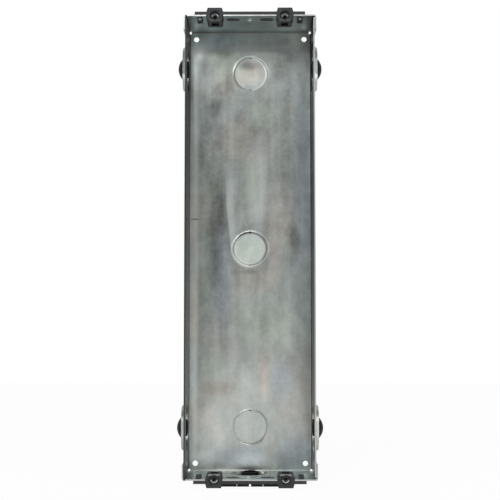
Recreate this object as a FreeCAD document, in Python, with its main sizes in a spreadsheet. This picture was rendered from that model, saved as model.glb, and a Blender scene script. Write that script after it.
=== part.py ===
# Flush back box: a folded galvanised sheet, two riveted clip bars with captive nuts, five plugs.
#
# Millimetres. X runs across the box, Y through its depth and Z up its height. The origin is the
# centre of the rear face, which lies against the wall at Y = 0, and the box opens towards -Y.

import FreeCAD, Part
import math
import os
import Sketcher
from FreeCAD import Placement, Rotation, Vector

# Driving sizes: name, value, what it is
SIZES = [
    # The folded sheet
    ("box_width", 118.0, "over the outer faces of the long walls"),
    ("box_height", 420.0, "over the outer faces of the end walls"),
    ("box_depth", 50.0, "rear face to rim"),
    ("sheet", 1.2, "sheet thickness"),
    ("bend_radius", 1.0, "inside radius of every bend"),
    ("long_wall_gap", 0.5, "end of a long wall to the start of the tab's bend"),
    ("lap_gap", 0.3, "long wall to the tab that laps it"),
    ("tab_length", 13.5, "tab, measured from the end wall's outer face"),
    ("weld_radius", 2.0, "spot weld between tab and long wall"),
    ("weld_from_end", 8.0, "weld centre from the end wall's outer face"),
    ("weld_from_rim", 14.0, "weld centre from the rim, and from the rear face"),
    ("relief_width", 1.0, "corner relief, measured across the box"),
    ("relief_length", 1.7, "corner relief, measured along the long wall"),
    ("relief_rise", 0.6, "corner relief, measured up from the bend"),
    # Holes and knock-outs in the base
    ("fixing_radius", 2.5, "wall fixing hole"),
    ("fixing_from_side", 7.3, "fixing hole from the long wall's outer face"),
    ("fixing_from_end", 8.0, "fixing hole from the end wall's outer face"),
    ("knockout_radius", 15.25, "knock-out disc"),
    ("knockout_from_end", 42.0, "outer knock-outs from the end walls' outer faces"),
    ("knockout_raise", 0.4, "how far the disc is sheared up into the box"),
    ("knockout_groove", 0.35, "width of the sheared line round the disc"),
    ("knockout_skin", 0.7, "metal left under the sheared line"),
    ("knockout_lip", 1.55, "width of the lip drawn up round the disc"),
    ("knockout_lip_raise", 0.3, "height of that lip"),
    ("knockout_lip_slope", 1.2, "width of that lip's sloping outer side"),
    ("knockout_pip_radius", 1.0, "punch mark above and below the disc"),
    # Dished entries and their plugs
    ("entry_from_end", 44.0, "side entries from the end walls' outer faces"),
    ("dish_length", 44.0, "side dish along the wall"),
    ("dish_width", 30.0, "side dish across the wall"),
    ("dish_depth", 3.2, "how far a dish is pressed out"),
    ("dish_flare", 35.0, "lean of a dish's flank, in degrees"),
    ("dish_inset", 0.62, "inner outline of a dish inside its outer one"),
    ("end_dish_length", 38.0, "bottom dish across the box"),
    ("end_dish_width", 22.0, "bottom dish through the depth"),
    ("end_dish_depth", 2.0, "how far the bottom dish is pressed out"),
    ("entry_radius", 7.4, "hole in the floor of a dish"),
    ("plug_clearance", 0.2, "plug neck to the edge of its hole"),
    ("plug_cap_radius", 9.5, "domed cap of a plug"),
    ("plug_cap_edge", 0.6, "straight edge under the dome"),
    ("plug_dome", 4.0, "height of the dome above that edge"),
    ("plug_skin", 1.5, "wall of a plug"),
    ("plug_bead", 1.0, "snap edge of a plug beyond the edge of its hole"),
    ("plug_mouth", 0.2, "open end of a plug beyond the edge of its hole"),
    ("plug_bead_gap", 0.15, "sheet to the snap edge"),
    ("plug_collar", 5.0, "plug from the cap's underside to its open end"),
    # Clip bars
    ("clip_share", 0.42, "depth of a clip bar, as a share of the box's depth"),
    ("plate_thickness", 2.9, "plate of a clip bar"),
    ("arm_from_side", 8.7, "end of the plate from the long wall's outer face"),
    ("flange_height", 7.5, "flange above the end wall"),
    ("flange_thickness", 2.0, "flange between the blocks"),
    ("flange_gap", 0.3, "front of the flange to the rivet's closing head"),
    ("flange_notch", 1.7, "middle notch of the bottom bar's flange"),
    ("flange_slit", 0.3, "slits beside the notch"),
    ("slit_from_middle", 11.8, "slit from the middle of the bar"),
    ("block_from_side", 27.0, "screw axis from the long wall's outer face"),
    ("block_outer_width", 13.0, "block at its outer edge"),
    ("block_width", 15.2, "block at the level of the plate"),
    ("block_inner_width", 14.0, "block inside the box"),
    ("block_rise", 6.5, "block beyond the end wall's outer face"),
    ("block_reach", 5.0, "block inside the end wall's outer face"),
    ("block_corner", 1.5, "rounding of a block's inner corners"),
    ("screw_from_wall", 0.5, "screw axis inside the end wall's outer face"),
    ("funnel_radius", 4.7, "mouth of the screw funnel"),
    ("funnel_lean", 16.0, "lean of the funnel's wall, in degrees"),
    ("nut_from_rim", 5.0, "front of the nut pocket"),
    ("nut_width", 7.0, "square nut across its flats"),
    ("nut_thickness", 2.2, "square nut"),
    ("nut_clearance", 0.1, "nut to its pocket, on each side"),
    ("thread_radius", 1.65, "tapped hole of the nut"),
    ("thread_chamfer", 0.9, "countersink of the tapped hole"),
    ("screw_room_radius", 2.4, "room for the screw's end behind the nut"),
    ("screw_room_wall", 2.5, "wall behind that room"),
    ("window_width", 6.6, "window in a block's inner face"),
    ("window_start", 9.2, "window from the rim"),
    ("window_from_back", 4.0, "window from the back of the bar"),
    # Cut-outs of the end walls
    ("notch_clearance", 0.8, "end wall's notch to the block"),
    ("notch_behind_bar", 0.8, "end wall's notch behind the clip bar"),
    ("notch_corner", 1.5, "rounding at the bottom of the notch"),
    ("slot_web", 2.45, "metal between a slot and the notch beside it"),
    ("slot_share", 0.39, "slot's length, as a share of the screw axis's place from the middle"),
    ("slot_width", 8.0, "slot through the depth"),
    ("slot_pad_gap", 0.4, "locating pad of the bar to the edge of its slot"),
    ("middle_hole_radius", 2.5, "rivet hole in the middle of the end wall"),
    ("rivet_radius", 2.2, "shank of the rivet"),
    ("rivet_head_radius", 2.9, "both heads of the rivet"),
    ("rivet_head", 1.0, "height of the head inside the box"),
    ("rivet_head_edge", 0.3, "straight edge of that head"),
    ("rivet_crown", 0.62, "flat top of that head, as a share of its radius"),
    ("rivet_tail", 0.8, "height of the closing head"),
    ("snap_from_side", 13.0, "snap hook from the long wall's outer face"),
    ("snap_width", 4.6, "snap hook across the box"),
    ("snap_slot_share", 0.43, "snap slot's length, as a share of the bar's depth"),
    ("snap_clearance", 0.4, "snap hook to the edge of its slot"),
    ("snap_prong", 2.4, "thickness of a hook's prong"),
    ("snap_barb", 0.9, "barb beyond the edge of the slot"),
    ("snap_barb_gap", 0.2, "barb to the sheet"),
    ("snap_reach", 3.5, "hook below the end wall's outer face"),
]


class Length:
    """A length in millimetres that remembers the sheet formula it was worked out from."""

    def __init__(self, value, formula=None):
        self.value = float(value)
        self.formula = formula if formula is not None else "%g" % value

    def joined(self, sign, other, value, swapped=False):
        other = as_length(other)
        first, second = (other, self) if swapped else (self, other)
        return Length(value, "(%s %s %s)" % (first.formula, sign, second.formula))

    def __add__(self, other):
        return self.joined("+", other, self.value + as_length(other).value)

    def __sub__(self, other):
        return self.joined("-", other, self.value - as_length(other).value)

    def __rsub__(self, other):
        return self.joined("-", other, as_length(other).value - self.value, swapped=True)

    def __mul__(self, other):
        return self.joined("*", other, self.value * as_length(other).value)

    def __truediv__(self, other):
        return self.joined("/", other, self.value / as_length(other).value)

    def __neg__(self):
        return Length(-self.value, "-1 * %s" % self.formula)


def as_length(number):
    return number if isinstance(number, Length) else Length(number)


def lean_of(run, rise):
    """The lean from upright, in degrees, of a side that runs in by one length over a rise."""
    return Length(math.degrees(math.atan2(run.value, rise.value)),
                  "atan(%s / %s)" % (run.formula, rise.formula))


document = FreeCAD.newDocument("flush_back_box")
sheet_of_sizes = document.addObject("Spreadsheet::Sheet", "Sizes")
size = {}
for row, (name, value, meaning) in enumerate(SIZES, 1):
    sheet_of_sizes.set("A%d" % row, name)
    sheet_of_sizes.set("B%d" % row, str(value))
    sheet_of_sizes.set("C%d" % row, meaning)
    sheet_of_sizes.setAlias("B%d" % row, name)
    size[name] = Length(value, "Sizes." + name)
document.recompute()


# Sketches

def new_body(label):
    body = document.addObject("PartDesign::Body", label)
    body.Label = label
    return body


def origin_plane(body, role):
    return next(feature for feature in body.Origin.OriginFeatures if feature.Role == role)


def new_sketch(body, name, role, offset=0):
    """A sketch parallel to an origin plane, the offset along that plane's normal.

    The normal of XY is +Z, of YZ +X and of XZ -Y, which is into the depth of the box.
    """
    sketch = body.newObject("Sketcher::SketchObject", name)
    sketch.AttachmentSupport = [(origin_plane(body, role), "")]
    sketch.MapMode = "FlatFace"
    sketch.setExpression(".AttachmentOffset.Base.z", as_length(offset).formula)
    return sketch


def pin_point(sketch, geometry, end, x, y):
    """Ties one point of a sketch to its two formulas."""
    for kind, axis, distance in (("DistanceX", -2, as_length(x)), ("DistanceY", -1, as_length(y))):
        if distance.formula == "0":
            sketch.addConstraint(Sketcher.Constraint("PointOnObject", geometry, end, axis))
            continue
        number = sketch.addConstraint(
            Sketcher.Constraint(kind, -1, 1, geometry, end, distance.value))
        sketch.setExpression("Constraints[%d]" % number, distance.formula)


def pin_radius(sketch, geometry, radius):
    number = sketch.addConstraint(Sketcher.Constraint("Radius", geometry, radius.value))
    sketch.setExpression("Constraints[%d]" % number, radius.formula)


def draw_circle(sketch, x, y, radius):
    x, y = as_length(x), as_length(y)
    circle = Part.Circle(Vector(x.value, y.value, 0), Vector(0, 0, 1), radius.value)
    geometry = sketch.addGeometry(circle, False)
    pin_point(sketch, geometry, 3, x, y)
    pin_radius(sketch, geometry, radius)


def stepped(corner, neighbour, radius):
    """The point on the way from a corner to its neighbour where the rounding starts."""
    x, y = corner
    if abs(neighbour[0].value - x.value) < 1e-6:
        return (x, y + radius * math.copysign(1, neighbour[1].value - y.value))
    return (x + radius * math.copysign(1, neighbour[0].value - x.value), y)


def rounded_path(corners):
    """Turns corners into points, each with the radius and centre of the arc that ends there."""
    corners = [tuple(as_length(number) for number in corner) for corner in corners]
    path = []
    for index, corner in enumerate(corners):
        if len(corner) == 2:
            path.append((corner, None, None))
            continue
        x, y, radius = corner
        start = stepped((x, y), corners[index - 1], radius)
        end = stepped((x, y), corners[(index + 1) % len(corners)], radius)
        centre = (start[0].value + end[0].value - x.value, start[1].value + end[1].value - y.value)
        path.append((start, None, None))
        path.append((end, radius, centre))
    return [item for index, item in enumerate(path)
            if item[1] is not None or not same_spot(item[0], path[index - 1][0])]


def same_spot(first, second):
    return math.hypot(first[0].value - second[0].value, first[1].value - second[1].value) < 1e-6


def draw_path(sketch, path):
    """A closed outline through pinned points, straight or along an arc about a given centre."""
    ends = []
    for index, (end, radius, centre) in enumerate(path):
        start = path[index - 1][0]
        first = Vector(start[0].value, start[1].value, 0)
        last = Vector(end[0].value, end[1].value, 0)
        if radius is None:
            geometry = sketch.addGeometry(Part.LineSegment(first, last), False)
            ends.append((geometry, 1, 2))
            continue
        middle = Vector(centre[0], centre[1], 0)
        turns_left = (first - middle).cross(last - middle).z > 0
        lower, upper = (first, last) if turns_left else (last, first)
        angles = [math.atan2(spot.y - middle.y, spot.x - middle.x) for spot in (lower, upper)]
        circle = Part.Circle(middle, Vector(0, 0, 1), radius.value)
        geometry = sketch.addGeometry(Part.ArcOfCircle(circle, *angles), False)
        ends.append((geometry, 1, 2) if turns_left else (geometry, 2, 1))
    for index, (end, radius, centre) in enumerate(path):
        geometry, _, finish = ends[index]
        following, begin, _ = ends[(index + 1) % len(ends)]
        sketch.addConstraint(
            Sketcher.Constraint("Coincident", geometry, finish, following, begin))
        pin_point(sketch, geometry, finish, *end)
        if radius is not None:
            pin_radius(sketch, geometry, radius)


def draw_outline(sketch, corners):
    """A closed outline. A corner (x, y, radius) between level and upright sides is rounded."""
    draw_path(sketch, rounded_path(corners))


def draw_rectangle(sketch, x, y, width, height, radius=None):
    """A rectangle about its centre, its corners rounded if a radius is given."""
    x, y = as_length(x), as_length(y)
    rounding = () if radius is None else (radius,)
    signs = ((-1, -1), (1, -1), (1, 1), (-1, 1))
    draw_outline(sketch, [(x + width * across / 2, y + height * up / 2) + rounding
                          for across, up in signs])


def mirrored_outline(half):
    """The right half of an outline followed by the same points on the left."""
    return half + [(-as_length(corner[0]),) + tuple(corner[1:]) for corner in reversed(half)]


# Features

def pad(body, name, sketch, length, narrowing=None, reverse=False):
    feature = body.newObject("PartDesign::Pad", name)
    feature.Profile = sketch
    feature.setExpression("Length", as_length(length).formula)
    feature.Reversed = reverse
    if narrowing is not None:
        feature.setExpression("TaperAngle", (-narrowing).formula)
    document.recompute()
    return feature


def pocket(body, name, sketch, length, narrowing=None, reverse=False):
    """Cuts against the sketch's normal, or along it if reversed, and checks that it cut."""
    before = body.Shape.Volume
    feature = body.newObject("PartDesign::Pocket", name)
    feature.Profile = sketch
    feature.setExpression("Length", as_length(length).formula)
    feature.Reversed = reverse
    if narrowing is not None:
        feature.setExpression("TaperAngle", (-narrowing).formula)
    document.recompute()
    if not body.Shape.Volume < before - 1e-6:
        raise RuntimeError("%s removes nothing from %s" % (name, body.Label))
    return feature


def turn(body, name, profile):
    feature = body.newObject("PartDesign::Revolution", name)
    feature.Profile = profile
    feature.ReferenceAxis = (profile, ["V_Axis"])
    feature.Angle = 360
    document.recompute()


def mirror(body, name, originals, role):
    feature = body.newObject("PartDesign::Mirrored", name)
    feature.Originals = originals
    feature.MirrorPlane = (origin_plane(body, role), [""])
    body.Tip = feature
    document.recompute()
    return feature


# Places that several pieces share
side = size["box_width"] / 2
end = size["box_height"] / 2
sheet = size["sheet"]
depth = size["box_depth"]
bend = size["bend_radius"] + sheet
inner_side = side - sheet
inner_end = end - sheet
mid_depth = depth / 2
screw_x = side - size["block_from_side"]
screw_z = end - size["screw_from_wall"]
entry_z = end - size["entry_from_end"]
snap_x = side - size["snap_from_side"]
clip_depth = depth * size["clip_share"]
cutout_y = clip_depth / 2 - depth
block_half = size["block_inner_width"] / 2
notch_half = block_half + size["notch_clearance"]
slot_length = screw_x * size["slot_share"]
slot_x = screw_x - notch_half - size["slot_web"] - slot_length / 2
snap_slot_width = size["snap_width"] + size["snap_clearance"] * 2
snap_slot_length = clip_depth * size["snap_slot_share"]
bottom_entry_y = (clip_depth - depth - bend) / 2


# The folded sheet

def fold_sheet(body):
    """Base, two long walls bent up from it, and two end walls whose tabs lap the long walls."""
    wall_end = inner_end - size["bend_radius"] - size["long_wall_gap"]
    channel = new_sketch(body, "channel_section", "XY_Plane", -wall_end)
    draw_outline(channel, [
        (-side, 0, bend), (side, 0, bend), (side, -depth), (inner_side, -depth),
        (inner_side, -sheet, size["bend_radius"]), (-inner_side, -sheet, size["bend_radius"]),
        (-inner_side, -depth), (-side, -depth)])
    pad(body, "base_and_long_walls", channel, wall_end * 2)

    strip_half = side - bend - size["relief_width"] / 2
    wall_start = bend + size["relief_rise"]
    strip = new_sketch(body, "end_bend_section", "YZ_Plane", -strip_half)
    draw_outline(strip, [
        (0, wall_end - sheet), (0, end, bend), (-wall_start, end), (-wall_start, inner_end),
        (-sheet, inner_end, size["bend_radius"]), (-sheet, wall_end - sheet)])
    end_bend = pad(body, "end_bend", strip, strip_half * 2)

    tab_outer = side + size["lap_gap"] + sheet
    tab_inner = side + size["lap_gap"]
    tab_end = end - size["tab_length"]
    web = new_sketch(body, "end_wall_section", "XZ_Plane", wall_start)
    draw_outline(web, [
        (tab_outer, tab_end), (tab_outer, end, bend), (-tab_outer, end, bend),
        (-tab_outer, tab_end), (-tab_inner, tab_end), (-tab_inner, inner_end, size["bend_radius"]),
        (tab_inner, inner_end, size["bend_radius"]), (tab_inner, tab_end)])
    end_wall = pad(body, "end_wall_and_tabs", web, depth - wall_start)
    mirror(body, "other_end_wall", [end_bend, end_wall], "XY_Plane")


def weld_tabs(body):
    """Two spot welds hold each tab to the long wall it laps."""
    weld_z = end - size["weld_from_end"]
    for name, start in (("right", side), ("left", -side - size["lap_gap"])):
        welds = new_sketch(body, name + "_weld_spots", "YZ_Plane", start)
        for y in (-size["weld_from_rim"], size["weld_from_rim"] - depth):
            for z in (weld_z, -weld_z):
                draw_circle(welds, y, z, size["weld_radius"])
        pad(body, name + "_welds", welds, size["lap_gap"])


def cut_corner_reliefs(body):
    """Each corner of the base is notched where its two bends would meet."""
    reliefs = new_sketch(body, "relief_outlines", "XZ_Plane")
    across = bend + size["relief_width"] / 2 + sheet
    along = size["relief_length"] + sheet
    x = side + sheet - across / 2
    z = end - along / 2
    for sign_x in (1, -1):
        for sign_z in (1, -1):
            draw_rectangle(reliefs, x * sign_x, z * sign_z, across, along)
    pocket(body, "corner_reliefs", reliefs, bend + size["relief_rise"], reverse=True)


def cut_base(body):
    """Wall fixing holes, and three knock-outs sheared part of the way up into the box."""
    holes = new_sketch(body, "fixing_hole_outlines", "XZ_Plane")
    for sign_x in (1, -1):
        for sign_z in (1, -1):
            draw_circle(holes, (side - size["fixing_from_side"]) * sign_x,
                        (end - size["fixing_from_end"]) * sign_z, size["fixing_radius"])
    pocket(body, "fixing_holes", holes, sheet, reverse=True)

    rows = (0, end - size["knockout_from_end"], size["knockout_from_end"] - end)
    disc = size["knockout_radius"]
    groove = disc + size["knockout_groove"]
    lip = groove + size["knockout_lip"]
    inner_face = sheet + size["knockout_raise"]

    lips = new_sketch(body, "knockout_lip_outlines", "XZ_Plane", sheet)
    discs = new_sketch(body, "knockout_disc_outlines", "XZ_Plane", sheet)
    backs = new_sketch(body, "knockout_back_outlines", "XZ_Plane")
    grooves = new_sketch(body, "knockout_groove_outlines", "XZ_Plane", inner_face)
    pips = new_sketch(body, "knockout_pip_outlines", "XZ_Plane", inner_face)
    for z in rows:
        draw_circle(lips, 0, z, lip)
        draw_circle(lips, 0, z, groove)
        draw_circle(discs, 0, z, disc)
        draw_circle(backs, 0, z, disc)
        draw_circle(grooves, 0, z, groove)
        draw_circle(grooves, 0, z, disc)
        for sign in (1, -1):
            draw_circle(pips, 0, groove * sign + z, size["knockout_pip_radius"])
    pad(body, "knockout_lips", lips, size["knockout_lip_raise"],
        narrowing=lean_of(size["knockout_lip_slope"], size["knockout_lip_raise"]))
    pad(body, "knockout_discs", discs, size["knockout_raise"])
    pocket(body, "knockout_backs", backs, size["knockout_raise"], reverse=True)
    groove_depth = inner_face - size["knockout_skin"]
    pocket(body, "knockout_grooves", grooves, groove_depth)
    pocket(body, "knockout_pips", pips, groove_depth)


def press_side_entries(body):
    """A dish in each long wall near each end, its floor pierced for a plug."""
    outer = new_sketch(body, "side_dish_outlines", "YZ_Plane", side)
    inner = new_sketch(body, "side_dish_hollows", "YZ_Plane", inner_side)
    holes = new_sketch(body, "side_entry_outlines", "YZ_Plane", inner_side + size["dish_depth"])
    long, wide, inset = size["dish_length"], size["dish_width"], size["dish_inset"]
    for z in (entry_z, -entry_z):
        draw_rectangle(outer, -mid_depth, z, wide, long, wide / 2)
        draw_rectangle(inner, -mid_depth, z, wide - inset * 2, long - inset * 2, wide / 2 - inset)
        draw_circle(holes, -mid_depth, z, size["entry_radius"])
    flare = size["dish_flare"]
    dishes = pad(body, "side_dishes", outer, size["dish_depth"], narrowing=flare)
    hollows = pocket(body, "side_dish_insides", inner, size["dish_depth"], flare, reverse=True)
    entries = pocket(body, "side_entries", holes, sheet, reverse=True)
    mirror(body, "other_side_entries", [dishes, hollows, entries], "YZ_Plane")


def press_bottom_entry(body):
    """One shallower dish in the bottom wall, near the rear."""
    y = bottom_entry_y
    long, wide = size["end_dish_length"], size["end_dish_width"]
    inset, deep = size["dish_inset"], size["end_dish_depth"]
    outer = new_sketch(body, "bottom_dish_outline", "XY_Plane", -end)
    draw_rectangle(outer, 0, y, long, wide, wide / 2)
    pad(body, "bottom_dish", outer, deep, narrowing=size["dish_flare"], reverse=True)
    inner = new_sketch(body, "bottom_dish_hollow", "XY_Plane", -inner_end)
    draw_rectangle(inner, 0, y, long - inset * 2, wide - inset * 2, wide / 2 - inset)
    pocket(body, "bottom_dish_inside", inner, deep, size["dish_flare"])
    hole = new_sketch(body, "bottom_entry_outline", "XY_Plane", -inner_end - deep)
    draw_circle(hole, 0, y, size["entry_radius"])
    pocket(body, "bottom_entry", hole, sheet)


def cut_end_walls(body):
    """Notches for the blocks, slots, a middle hole and snap slots, the same in both end walls."""
    notches = new_sketch(body, "notch_outlines", "XY_Plane", end)
    slots = new_sketch(body, "slot_outlines", "XY_Plane", end)
    holes = new_sketch(body, "middle_hole_outline", "XY_Plane", end)
    snaps = new_sketch(body, "snap_slot_outlines", "XY_Plane", end)
    notch_floor = clip_depth + size["notch_behind_bar"] - depth
    for sign in (1, -1):
        x = screw_x * sign
        draw_outline(notches, [
            (x - notch_half, -depth - sheet), (x + notch_half, -depth - sheet),
            (x + notch_half, notch_floor, size["notch_corner"]),
            (x - notch_half, notch_floor, size["notch_corner"])])
        draw_rectangle(slots, slot_x * sign, cutout_y, slot_length, size["slot_width"],
                       size["slot_width"] / 2)
        draw_rectangle(snaps, snap_x * sign, cutout_y, snap_slot_width, snap_slot_length)
    draw_circle(holes, 0, cutout_y, size["middle_hole_radius"])
    cuts = [
        pocket(body, "notches", notches, sheet),
        pocket(body, "slots", slots, sheet),
        pocket(body, "middle_hole", holes, sheet),
        pocket(body, "snap_slots", snaps, sheet),
    ]
    mirror(body, "other_end_cutouts", cuts, "XY_Plane")


def make_steel_box():
    body = new_body("steel_box")
    fold_sheet(body)
    weld_tabs(body)
    cut_corner_reliefs(body)
    cut_end_walls(body)
    cut_base(body)
    press_side_entries(body)
    press_bottom_entry(body)
    return body


# Clip bars

def mould_bar(body):
    """Plate and blocks from one front outline, and the flange that stands between the blocks."""
    plate_top = end + size["plate_thickness"]
    block_top = end + size["block_rise"]
    block_floor = end - size["block_reach"]
    shoulder = size["block_width"] / 2
    crown = size["block_outer_width"] / 2
    back = depth - clip_depth
    front = new_sketch(body, "front_outline", "XZ_Plane", back)
    draw_outline(front, mirrored_outline([
        (screw_x - block_half, end),
        (screw_x - block_half, block_floor, size["block_corner"]),
        (screw_x + block_half, block_floor, size["block_corner"]),
        (screw_x + block_half, end),
        (side - size["arm_from_side"], end),
        (side - size["arm_from_side"], plate_top),
        (screw_x + shoulder, plate_top),
        (screw_x + crown, block_top),
        (screw_x - crown, block_top),
        (screw_x - shoulder, plate_top),
    ]))
    pad(body, "plate_and_blocks", front, clip_depth)

    flange_front = -cutout_y - size["rivet_head_radius"] - size["flange_gap"]
    flange_back = flange_front - size["flange_thickness"]
    flange = new_sketch(body, "flange_outline", "XZ_Plane", flange_back)
    flange_half = screw_x - crown
    draw_outline(flange, mirrored_outline([(flange_half, end), (flange_half, end + size["flange_height"])]))
    pad(body, "flange", flange, size["flange_thickness"])
    return flange_back


def notch_flange(body, flange_back):
    """The bottom bar's flange is notched in the middle and slit on either side."""
    notches = new_sketch(body, "flange_notch_outlines", "XZ_Plane", flange_back + size["flange_thickness"])
    plate_top = end + size["plate_thickness"]
    tall = size["flange_height"] - size["plate_thickness"]
    z = plate_top + tall / 2
    draw_rectangle(notches, 0, z, size["flange_notch"], tall)
    for sign in (1, -1):
        draw_rectangle(notches, size["slit_from_middle"] * sign, z, size["flange_slit"], tall)
    pocket(body, "flange_notches", notches, size["flange_thickness"])


def hollow_block(body):
    """Screw funnel, nut pocket, room for the screw's end, and a window into that room."""
    funnel = new_sketch(body, "funnel_outline", "XZ_Plane", depth)
    draw_circle(funnel, screw_x, screw_z, size["funnel_radius"])
    funnel_cut = pocket(body, "screw_funnel", funnel, size["nut_from_rim"], size["funnel_lean"])

    pocket_half = size["nut_width"] / 2 + size["nut_clearance"]
    pocket_top = screw_z + pocket_half
    pocket_floor = end - size["block_reach"] - size["nut_clearance"]
    nut = new_sketch(body, "nut_pocket_outline", "XZ_Plane", depth - size["nut_from_rim"])
    draw_outline(nut, [
        (screw_x - pocket_half, pocket_floor), (screw_x + pocket_half, pocket_floor),
        (screw_x + pocket_half, pocket_top), (screw_x - pocket_half, pocket_top)])
    nut_room = size["nut_thickness"] + size["nut_clearance"] * 2
    nut_cut = pocket(body, "nut_pocket", nut, nut_room)

    room = new_sketch(body, "screw_room_outline", "XZ_Plane", depth - size["nut_from_rim"] - nut_room)
    draw_circle(room, screw_x, screw_z, size["screw_room_radius"])
    room_cut = pocket(body, "screw_room", room,
                      clip_depth - size["screw_room_wall"] - size["nut_from_rim"] - nut_room)

    window = new_sketch(body, "window_outline", "XY_Plane", end - size["block_reach"])
    window_end = clip_depth - size["window_from_back"]
    draw_rectangle(window, screw_x, (size["window_start"] + window_end) / 2 - depth,
                   size["window_width"], window_end - size["window_start"])
    window_cut = pocket(body, "window", window, size["block_reach"] - size["screw_from_wall"],
                        reverse=True)
    return [funnel_cut, nut_cut, room_cut, window_cut]


def add_locating_pads(body):
    """Pads under the plate that fill the end wall's slots, flush with its inner face."""
    pads = new_sketch(body, "locating_pad_outlines", "XY_Plane", end)
    width = size["slot_width"] - size["slot_pad_gap"] * 2
    for sign in (1, -1):
        draw_rectangle(pads, slot_x * sign, cutout_y, slot_length - size["slot_pad_gap"] * 2,
                       width, width / 2)
    pad(body, "locating_pads", pads, sheet, reverse=True)


def add_snap_hooks(body):
    """Two barbed prongs that hold the bar in a snap slot, and the opening between them."""
    half_slot = snap_slot_length / 2
    outer = half_slot - size["snap_clearance"]
    barb = half_slot + size["snap_barb"]
    barb_top = inner_end - size["snap_barb_gap"]
    tip = end - size["snap_reach"]
    hooks = new_sketch(body, "hook_section", "YZ_Plane", snap_x - size["snap_width"] / 2)
    for sign in (1, -1):
        draw_outline(hooks, [
            (cutout_y + outer * sign, end + size["plate_thickness"]),
            (cutout_y + outer * sign, barb_top), (cutout_y + barb * sign, barb_top),
            (cutout_y + outer * sign, tip), (cutout_y + (outer - size["snap_prong"]) * sign, tip),
            (cutout_y + (outer - size["snap_prong"]) * sign, end + size["plate_thickness"])])
    hook_pad = pad(body, "snap_hooks", hooks, size["snap_width"])

    opening = new_sketch(body, "hook_opening_outline", "XY_Plane", end + size["plate_thickness"])
    draw_rectangle(opening, snap_x, cutout_y, size["snap_width"], (outer - size["snap_prong"]) * 2)
    opening_cut = pocket(body, "hook_opening", opening, size["plate_thickness"])
    return [hook_pad, opening_cut]


def make_clip_bar(label, notched):
    body = new_body(label)
    flange_back = mould_bar(body)
    if notched:
        notch_flange(body, flange_back)
    hole = new_sketch(body, "middle_hole_outline", "XY_Plane", end + size["plate_thickness"])
    draw_circle(hole, 0, cutout_y, size["middle_hole_radius"])
    pocket(body, "middle_hole", hole, size["plate_thickness"])
    add_locating_pads(body)
    mirror(body, "other_half", hollow_block(body) + add_snap_hooks(body), "YZ_Plane")
    return body


# Square nuts, rivets and blind plugs

# Shares of the cap's radius at which the dome's outline bends
DOME_STEPS = (0.8, 0.55, 0.28)


def make_nut(label):
    """A square nut with its tapped hole along its own Z axis, countersunk where the screw enters."""
    body = new_body(label)
    outline = new_sketch(body, "nut_outline", "XY_Plane")
    draw_rectangle(outline, 0, 0, size["nut_width"], size["nut_width"])
    pad(body, "nut_blank", outline, size["nut_thickness"])
    thread = new_sketch(body, "thread_outline", "XY_Plane", size["nut_thickness"])
    draw_circle(thread, 0, 0, size["thread_radius"])
    drilled = pocket(body, "thread_hole", thread, size["nut_thickness"])
    rims = ["Edge%d" % number for number, edge in enumerate(drilled.Shape.Edges, 1)
            if isinstance(edge.Curve, Part.Circle) and edge.Curve.Center.z > 0]
    countersink = body.newObject("PartDesign::Chamfer", "countersink")
    countersink.Base = (drilled, rims)
    countersink.setExpression("Size", size["thread_chamfer"].formula)
    document.recompute()
    return body


def make_plug(label):
    """A hollow domed plug, turned about its own Z axis, its cap seated at Z = 0."""
    body = new_body(label)
    profile = new_sketch(body, "plug_profile", "XZ_Plane")
    cap, edge, dome = size["plug_cap_radius"], size["plug_cap_edge"], size["plug_dome"]
    neck = size["entry_radius"] - size["plug_clearance"]
    bead = size["entry_radius"] + size["plug_bead"]
    bead_start = -sheet - size["plug_bead_gap"]
    mouth = -size["plug_collar"]
    bore = neck - size["plug_skin"]
    draw_outline(profile, [
        (0, edge), (bore, edge), (bore, mouth), (size["entry_radius"] + size["plug_mouth"], mouth),
        (bead, bead_start),
        (neck, bead_start), (neck, 0), (cap, 0), (cap, edge),
    ] + [(cap * share, edge + dome * (1 - share ** 2)) for share in DOME_STEPS] + [(0, edge + dome)])
    turn(body, "plug", profile)
    return body


def make_rivet(label):
    """A rivet along its own Z axis. Its head lies under Z = 0, on the end wall's inner face."""
    body = new_body(label)
    profile = new_sketch(body, "rivet_profile", "XZ_Plane")
    head, shank = size["rivet_head_radius"], size["rivet_radius"]
    grip = sheet + size["plate_thickness"]
    tail = grip + size["rivet_tail"]
    draw_outline(profile, [
        (0, -size["rivet_head"]), (head * size["rivet_crown"], -size["rivet_head"]),
        (head, -size["rivet_head_edge"]), (head, 0), (shank, 0), (shank, grip), (head, grip),
        (head, tail), (0, tail)])
    turn(body, "rivet", profile)
    return body


def place(body, x, y, z, rotation):
    """Turns a piece about the origin, then moves it to three formulas."""
    body.Placement = Placement(Vector(0, 0, 0), rotation)
    for axis, distance in (("x", x), ("y", y), ("z", z)):
        body.setExpression(".Placement.Base." + axis, as_length(distance).formula)


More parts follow.
